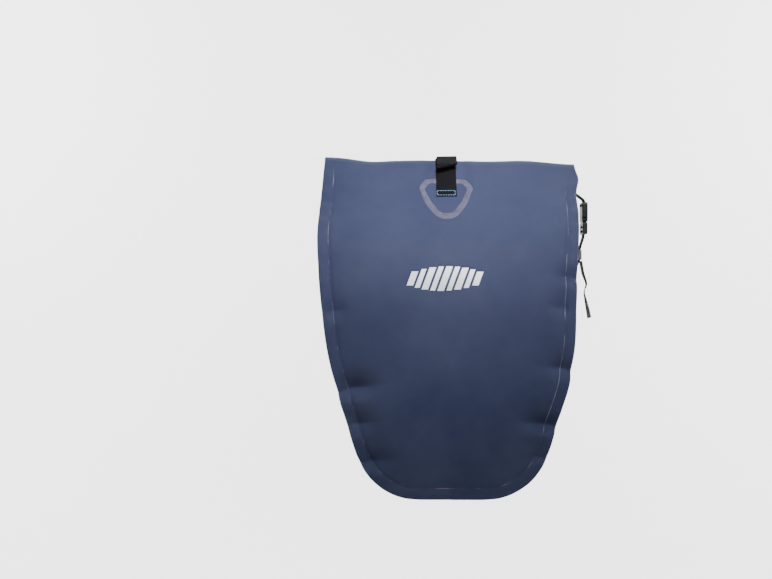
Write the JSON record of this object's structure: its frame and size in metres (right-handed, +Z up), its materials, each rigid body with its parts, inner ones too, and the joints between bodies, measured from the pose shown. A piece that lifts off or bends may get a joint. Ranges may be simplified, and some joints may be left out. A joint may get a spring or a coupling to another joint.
{
  "type": "pannier bag",
  "caption": "Roll-top bicycle pannier bag with rack hooks, lift-to-release carry handle, buckled side and top straps, and a sliding lower anchor.",
  "frame": {"origin": "on the axis of the rack's top tube, midway between the two hooks", "axes": "+X along the bicycle and the rack tube, +Y from the bag's front face towards the wheel, +Z up"},
  "size_m": [0.3595, 0.1865, 0.436],
  "materials": {
    "tarpaulin": "matt coated fabric, navy",
    "weld_patch": "welded patch, semi-gloss rim",
    "webbing": "black ribbed webbing",
    "buckle_plastic": "black acetal, satin",
    "adjuster_plastic": "dark grey acetal",
    "rail_plastic": "black moulded rail, fine grain",
    "hook_plastic": "black glass-filled nylon",
    "insert_plastic": "grey soft liner",
    "steel": "zinc-plated",
    "board": "black stiffening sheet",
    "slat_plastic": "black slat",
    "grip_rubber": "black soft grip"
  },
  "bodies": {
    "bag": {"front_panel": "tarpaulin", "gusset": "tarpaulin", "back_panel": "tarpaulin", "back_stiffener": "board", "strap_patch": "weld_patch", "front_strap": "webbing", "left_strap_anchor": "tarpaulin", "right_strap_anchor": "tarpaulin", "left_side_strap": "webbing", "right_side_strap": "webbing", "left_adjuster": "adjuster_plastic", "right_adjuster": "adjuster_plastic", "left_strap_tail": "webbing", "right_strap_tail": "webbing", "rear_socket": "buckle_plastic", "rear_tab": "webbing", "top_rail": "rail_plastic", "rail_end_caps": "rail_plastic", "rail_screws": "steel", "rail_nuts": "steel", "rail_backing_plate": "steel", "left_hook": "hook_plastic", "right_hook": "hook_plastic", "left_hook_insert": "insert_plastic", "right_hook_insert": "insert_plastic", "left_pivot_pin": "steel", "right_pivot_pin": "steel", "left_lever_spring": "steel", "right_lever_spring": "steel", "hook_screws": "steel", "lower_rail": "rail_plastic", "lower_rail_screws": "steel", "lower_rail_nuts": "steel"},
    "closure": {"roll": "tarpaulin", "closure_slat": "slat_plastic", "top_strap": "webbing", "top_strap_back": "webbing", "strap_tail": "webbing", "left_end_tab": "webbing", "right_end_tab": "webbing", "left_socket": "buckle_plastic", "right_socket": "buckle_plastic"},
    "left_plug": {"left_plug": "buckle_plastic", "left_prongs": "buckle_plastic"},
    "right_plug": {"right_plug": "buckle_plastic", "right_prongs": "buckle_plastic"},
    "rear_plug": {"rear_plug": "buckle_plastic", "rear_prongs": "buckle_plastic"},
    "handle": {"handle_webbing": "webbing", "handle_grip": "grip_rubber"},
    "left_lever": {"left_lever": "hook_plastic"},
    "right_lever": {"right_lever": "hook_plastic"},
    "anchor_slider": {"anchor_slider": "hook_plastic", "anchor_screw": "steel"},
    "anchor_arm": {"anchor_arm": "hook_plastic"}
  },
  "joints": [
    {"name": "closure_unroll", "type": "slide", "parent": "bag", "child": "closure", "axis": [0, 0, 1], "range_m": [0, 0.12]},
    {"name": "left_release", "type": "slide", "parent": "bag", "child": "left_plug", "axis": [0, 0, -1], "range_m": [0, 0.02], "deforming": ["left_side_strap", "left_prongs"]},
    {"name": "right_release", "type": "slide", "parent": "bag", "child": "right_plug", "axis": [0, 0, -1], "range_m": [0, 0.02], "deforming": ["right_side_strap", "right_prongs"]},
    {"name": "rear_release", "type": "slide", "parent": "closure", "child": "rear_plug", "axis": [0, 0, 1], "range_m": [0, 0.02], "deforming": ["rear_prongs", "top_strap_back", "strap_tail"]},
    {"name": "handle_pull", "type": "hinge", "parent": "bag", "child": "handle", "pos_m": [0, -0.0055, 0.018], "axis": [-1, 0, 0], "range_deg": [0, 12], "stiffness_Nm_per_rad": 0.5},
    {"name": "left_latch", "type": "hinge", "parent": "bag", "child": "left_lever", "pos_m": [-0.0703, -0.0055, 0.018], "axis": [-1, 0, 0], "range_deg": [0, 12], "stiffness_Nm_per_rad": 0.1, "deforming": ["left_lever_spring"]},
    {"name": "right_latch", "type": "hinge", "parent": "bag", "child": "right_lever", "pos_m": [0.0703, -0.0055, 0.018], "axis": [-1, 0, 0], "range_deg": [0, 12], "stiffness_Nm_per_rad": 0.1, "deforming": ["right_lever_spring"]},
    {"name": "anchor_slide", "type": "slide", "parent": "bag", "child": "anchor_slider", "axis": [1, 0, 0], "range_m": [-0.05, 0.05]},
    {"name": "anchor_swivel", "type": "hinge", "parent": "anchor_slider", "child": "anchor_arm", "pos_m": [0, -0.015, -0.25], "axis": [0, 1, 0], "range_deg": [-90, 90]}
  ],
  "couplings": [
    {"joint": "left_latch", "follows": "handle_pull", "ratio": 1},
    {"joint": "right_latch", "follows": "handle_pull", "ratio": 1}
  ]
}
